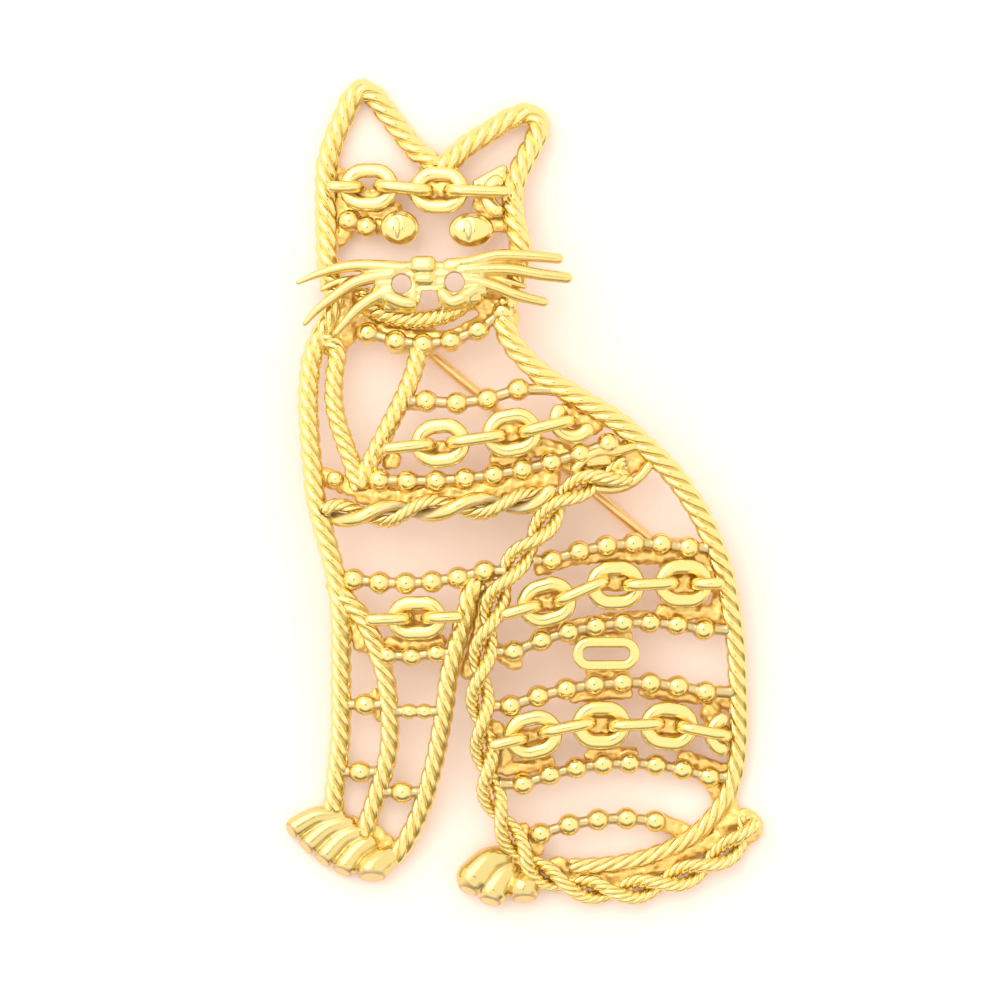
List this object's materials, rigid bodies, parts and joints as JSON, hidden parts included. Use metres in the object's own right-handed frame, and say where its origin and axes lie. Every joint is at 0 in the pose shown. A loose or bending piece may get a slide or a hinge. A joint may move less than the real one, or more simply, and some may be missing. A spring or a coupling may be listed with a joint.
{
  "type": "figural animal brooch",
  "caption": "Openwork brooch of a seated cat in rope, chain and bead wire over a shallow dome, with a hinged pin stem and catch behind.",
  "frame": {"origin": "middle of the bounding box at its bottom, so the brooch lies on its back on z = 0", "axes": "+X across the cat towards its tail, +Y up the cat to its ears, +Z out of its front"},
  "size_m": [0.04, 0.0699, 0.0072],
  "materials": {
    "gold": "bright yellow gold plate, polished",
    "pin_metal": "gold plate, smooth"
  },
  "bodies": {
    "brooch": {"left_ear_rope": "gold", "right_ear_rope": "gold", "back_rope": "gold", "front_rope": "gold", "chest_rope_left": "gold", "chest_rope_right": "gold", "mouth_rope": "gold", "inner_leg_rope": "gold", "right_leg_rope": "gold", "belly_strand_a": "gold", "belly_strand_b": "gold", "haunch_tail_strand_a": "gold", "haunch_tail_strand_b": "gold", "brow_chain": "gold", "chest_chain": "gold", "leg_chain": "gold", "haunch_chain_upper": "gold", "haunch_chain_lower": "gold", "centre_link": "gold", "cheek_beads": "gold", "collar_beads": "gold", "chest_beads_upper": "gold", "chest_beads_lower": "gold", "side_bead": "gold", "leg_beads_upper": "gold", "leg_beads_lower": "gold", "haunch_beads_1": "gold", "haunch_beads_2": "gold", "haunch_beads_3": "gold", "haunch_beads_4": "gold", "haunch_beads_5": "gold", "leg_rung_1": "gold", "leg_rung_2": "gold", "leg_rung_3": "gold", "leg_rung_4": "gold", "left_eye": "gold", "right_eye": "gold", "muzzle": "gold", "front_paw": "gold", "rear_paw": "gold", "hinge_bracket": "pin_metal", "catch": "pin_metal"},
    "pin": {"pin_stem": "pin_metal"}
  },
  "joints": [
    {"name": "pin_hinge", "type": "hinge", "parent": "brooch", "child": "pin", "pos_m": [-0.00908, 0.01309, 0.0011], "axis": [0.6467, 0.7628, 0], "range_deg": [0, 85]}
  ]
}
